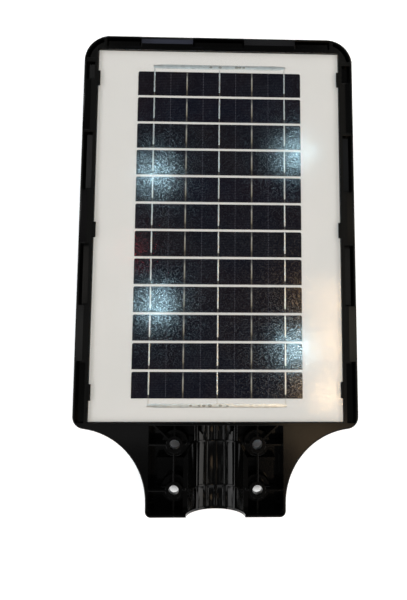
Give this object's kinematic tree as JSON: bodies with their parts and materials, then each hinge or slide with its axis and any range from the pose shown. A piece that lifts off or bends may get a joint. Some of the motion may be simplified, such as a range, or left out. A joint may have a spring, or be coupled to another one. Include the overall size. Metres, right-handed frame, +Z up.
{
  "type": "solar street lamp",
  "caption": "Flat all-in-one pole lamp: a solar panel on top of a black housing, lamp boards and motion sensor beneath, and a ribbed neck with a half-round pole saddle.",
  "frame": {"origin": "centre of the bounding box's base, level with the lower edge of the housing's skirt", "axes": "+Z up through the solar panel, +Y from the pole neck to the head's free end, X across"},
  "size_m": [0.2596, 0.4478, 0.05],
  "materials": {
    "housing_black": "moulded black ABS, semi-gloss",
    "cover_black": "moulded black ABS, fine texture",
    "backsheet_white": "white laminate board",
    "front_film": "clear laminated front sheet",
    "silicon": "dark blue anti-reflective silicon",
    "tinned_copper": "tinned ribbon",
    "silicone_black": "black sealing silicone",
    "junction_black": "moulded black plastic",
    "clear_lens": "clear polycarbonate",
    "reflector_white": "white reflective plastic",
    "lamp_board": "white solder mask on an aluminium board",
    "phosphor": "yellow phosphor emitters",
    "screw_steel": "zinc plated steel",
    "carrier_grey": "moulded grey plastic",
    "battery_wrap": "blue heat-shrink sleeve",
    "nickel": "nickel strip",
    "strap_steel": "bent steel strip",
    "board_green": "green circuit board",
    "ferrite": "ferrite ring with enamel wire",
    "sleeve_black": "capacitor sleeve",
    "chip_black": "moulded epoxy",
    "connector_ivory": "ivory nylon",
    "dome_white": "milky polyethylene lens",
    "sensor_metal": "nickel plated can",
    "pipe_clear": "clear acrylic",
    "button_red": "red plastic",
    "bezel_black": "gloss black plastic",
    "spring_steel": "spring wire",
    "wire_red": "red insulated leads",
    "wire_black": "black insulated leads",
    "wire_white": "white insulated leads"
  },
  "bodies": {
    "lamp": {"housing": "housing_black", "panel_adhesive": "silicone_black", "panel_backsheet": "backsheet_white", "panel_front_film": "front_film", "solar_cells": "silicon", "cell_ribbons": "tinned_copper", "bus_ribbons": "tinned_copper", "panel_junction_box": "junction_black", "base_cover": "cover_black", "base_gasket": "silicone_black", "base_screws": "screw_steel", "lens_cover": "clear_lens", "lens_gasket": "silicone_black", "lens_screws": "screw_steel", "reflector": "reflector_white", "led_board_left": "lamp_board", "led_board_right": "lamp_board", "led_chips": "phosphor", "led_board_screws": "screw_steel", "carrier_plate": "carrier_grey", "carrier_screws": "screw_steel", "battery_cells": "battery_wrap", "battery_cradle": "carrier_grey", "battery_tabs": "nickel", "battery_strap": "strap_steel", "battery_strap_screws": "screw_steel", "controller_board": "board_green", "controller_screws": "screw_steel", "power_choke": "ferrite", "capacitors": "sleeve_black", "controller_chips": "chip_black", "controller_sockets": "connector_ivory", "wire_plugs": "connector_ivory", "sensor_dome": "dome_white", "motion_sensor": "sensor_metal", "sensor_board": "board_green", "status_light_pipe": "pipe_clear", "button_bezel": "bezel_black", "button_switch": "chip_black", "button_board": "board_green", "button_spring": "spring_steel", "sensor_and_button_screws": "screw_steel", "panel_wires": "wire_red", "battery_wires": "wire_red", "led_wires": "wire_white", "sensor_wires": "wire_black", "button_wires": "wire_black"},
    "power_button": {"button_cap": "button_red", "switch_plunger": "chip_black"}
  },
  "joints": [
    {"name": "power_button_press", "type": "slide", "parent": "lamp", "child": "power_button", "axis": [0, 0, 1], "range_m": [0, 0.0015], "stiffness_N_per_m": 600, "springref_m": -0.0015, "deforming": ["button_spring"]}
  ]
}
